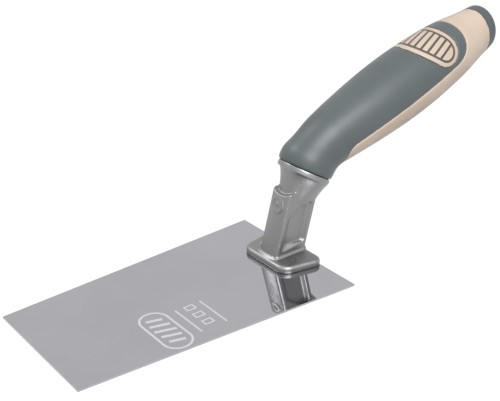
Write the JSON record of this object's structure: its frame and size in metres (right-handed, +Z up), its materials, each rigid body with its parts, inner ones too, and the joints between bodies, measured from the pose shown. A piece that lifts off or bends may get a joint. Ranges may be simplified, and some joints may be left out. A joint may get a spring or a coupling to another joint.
{
  "type": "bucket trowel",
  "caption": "Plastering trowel with a flat tapering steel blade, a cast foot and neck riveted to its heel, and a bent two-component soft-grip handle.",
  "frame": {"origin": "on the underside of the blade, its working face, below the middle of the foot", "axes": "+X from the toe of the blade to the butt of the handle, +Y across the blade, +Z up from the blade to the handle"},
  "size_m": [0.2611, 0.083, 0.1041],
  "materials": {
    "blade_steel": "polished",
    "cast_metal": "satin",
    "rivet_steel": "satin",
    "beige_plastic": "matte",
    "grip_rubber": "matte",
    "cap_rubber": "matte"
  },
  "bodies": {
    "root": {"blade": "blade_steel", "shank": "cast_metal", "rivet_left": "rivet_steel", "rivet_right": "rivet_steel", "handle_core": "beige_plastic", "grip": "grip_rubber", "end_cap": "cap_rubber"}
  },
  "joints": []
}
